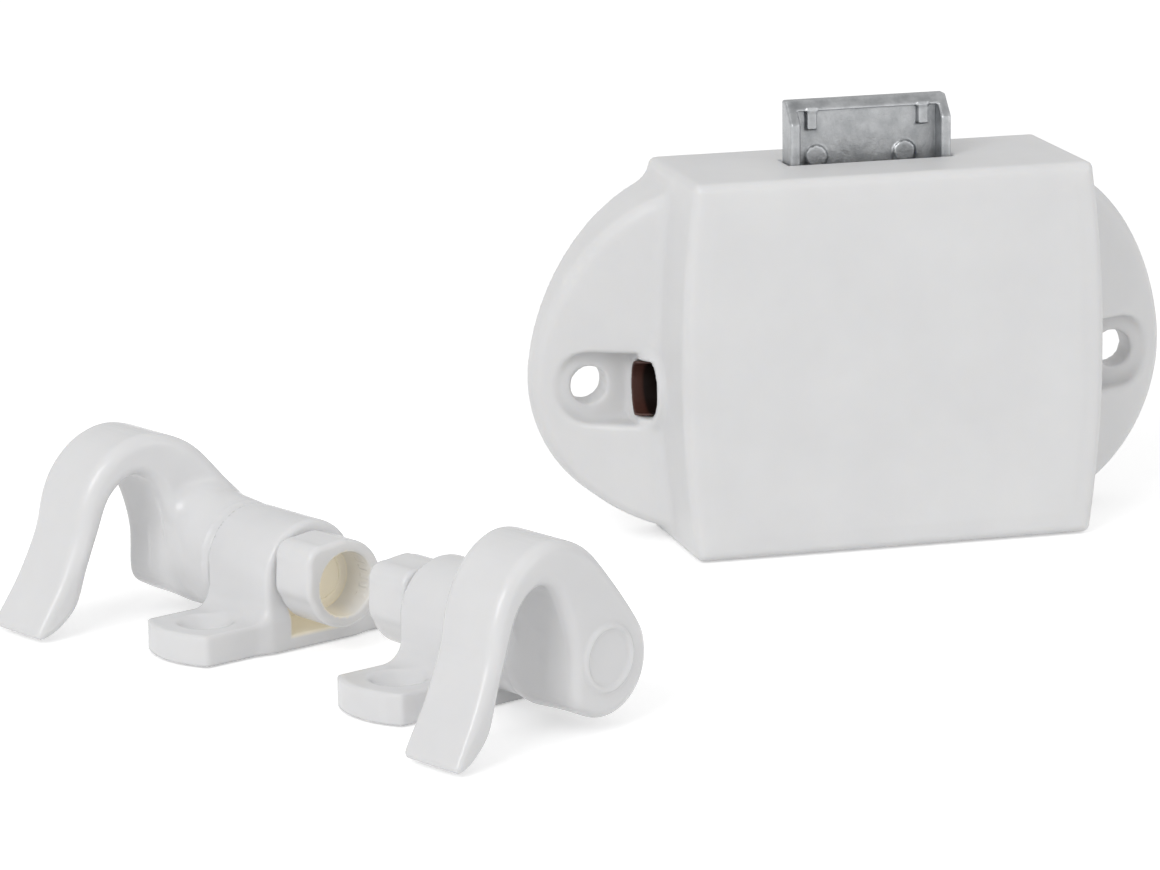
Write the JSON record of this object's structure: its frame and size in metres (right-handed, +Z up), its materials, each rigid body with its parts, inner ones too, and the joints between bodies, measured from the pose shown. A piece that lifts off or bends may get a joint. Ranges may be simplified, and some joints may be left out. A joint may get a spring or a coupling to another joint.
{
  "type": "push-button latch set",
  "caption": "White push-button latch case with ears and a sprung bolt, geared to rod sleeves, with mirrored hook fittings turned by connecting rods.",
  "frame": {"origin": "centre of the latch case's flat underside, on which the case stands", "axes": "+X from the left ear to the right ear of the latch, +Y to the door side with the push button, +Z up, the way the bolt leaves the case"},
  "size_m": [0.1486, 0.1166, 0.0524],
  "materials": {
    "white_case_plastic": "smooth moulded white plastic",
    "white_fitting_plastic": "smooth moulded white plastic, slightly glossy",
    "brown_sleeve_plastic": "dark brown moulded plastic",
    "dark_gear_plastic": "black moulded plastic",
    "cast_zinc": "grey die-cast zinc",
    "bright_steel": "bright steel"
  },
  "bodies": {
    "latch_case": {"housing": "white_case_plastic", "back_plate": "white_case_plastic", "plate_screw_1": "bright_steel", "plate_screw_2": "bright_steel", "plate_screw_3": "bright_steel", "plate_screw_4": "bright_steel", "bolt_spring_left": "bright_steel", "bolt_spring_right": "bright_steel", "button_spring": "bright_steel"},
    "bolt": {"bolt": "cast_zinc"},
    "button": {"push_button": "white_case_plastic", "rack_bar": "dark_gear_plastic"},
    "drive": {"pinion_drum": "dark_gear_plastic", "rod_sleeve_left": "brown_sleeve_plastic", "rod_sleeve_right": "brown_sleeve_plastic"},
    "left_fitting": {"left_bracket": "white_fitting_plastic"},
    "left_lever": {"left_hook_lever": "white_fitting_plastic", "left_rod_socket": "white_fitting_plastic"},
    "right_fitting": {"right_bracket": "white_fitting_plastic"},
    "right_lever": {"right_hook_lever": "white_fitting_plastic", "right_rod_socket": "white_fitting_plastic"}
  },
  "joints": [
    {"name": "button_press", "type": "slide", "parent": "latch_case", "child": "button", "axis": [0, -1, 0], "range_m": [0, 0.007], "stiffness_N_per_m": 300, "springref_m": -0.01, "deforming": ["button_spring"]},
    {"name": "bolt_retract", "type": "slide", "parent": "latch_case", "child": "bolt", "axis": [0, 0, -1], "range_m": [0, 0.007], "deforming": ["bolt_spring_left", "bolt_spring_right"]},
    {"name": "drive_turn", "type": "hinge", "parent": "latch_case", "child": "drive", "pos_m": [0, 0.0024, 0.0187], "axis": [1, 0, 0], "range_deg": [0, 80.3]},
    {"name": "left_fitting_lift", "type": "slide", "parent": "latch_case", "child": "left_fitting", "axis": [0, 0, 1], "range_m": [0, 0.05]},
    {"name": "left_hook_turn", "type": "hinge", "parent": "left_fitting", "child": "left_lever", "pos_m": [-0.0779, -0.0262, 0.0081], "axis": [-0.4321, 0.9018, 0], "range_deg": [0, 80]},
    {"name": "right_fitting_lift", "type": "slide", "parent": "latch_case", "child": "right_fitting", "axis": [0, 0, 1], "range_m": [0, 0.05]},
    {"name": "right_hook_turn", "type": "hinge", "parent": "right_fitting", "child": "right_lever", "pos_m": [-0.0627, -0.0552, 0.0081], "axis": [-0.4352, 0.9003, 0], "range_deg": [0, 80]}
  ],
  "couplings": [
    {"joint": "bolt_retract", "follows": "button_press", "ratio": 1},
    {"joint": "drive_turn", "follows": "button_press", "rad_per_m": 200}
  ]
}
